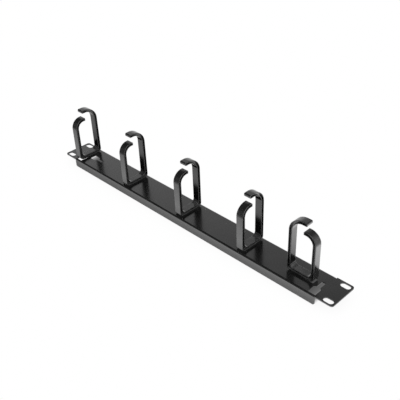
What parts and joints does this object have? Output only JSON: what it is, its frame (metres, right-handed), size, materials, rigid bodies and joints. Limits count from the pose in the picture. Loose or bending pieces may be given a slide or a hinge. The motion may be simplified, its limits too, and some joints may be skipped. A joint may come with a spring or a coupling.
{
  "type": "rack cable management panel",
  "caption": "Folded steel rack panel with slotted ears, carrying open moulded cable rings in bottle-shaped slots, to lead patch cables along and across a rack.",
  "frame": {"origin": "centre of the panel's footprint, on the plane of the two flanges' free edges", "axes": "+X along the panel towards the end with the turned ring, +Y from the front flange to the rear flange, +Z out of the face, the way the rings stand"},
  "size_m": [0.4826, 0.0424, 0.0874],
  "materials": {
    "panel_paint": "satin black powder coat on folded steel sheet",
    "ring_plastic": "satin black moulded plastic"
  },
  "bodies": {
    "root": {"panel": "panel_paint", "cable_ring_1": "ring_plastic", "cable_ring_2": "ring_plastic", "cable_ring_3": "ring_plastic", "cable_ring_4": "ring_plastic", "cable_ring_5": "ring_plastic"}
  },
  "joints": []
}
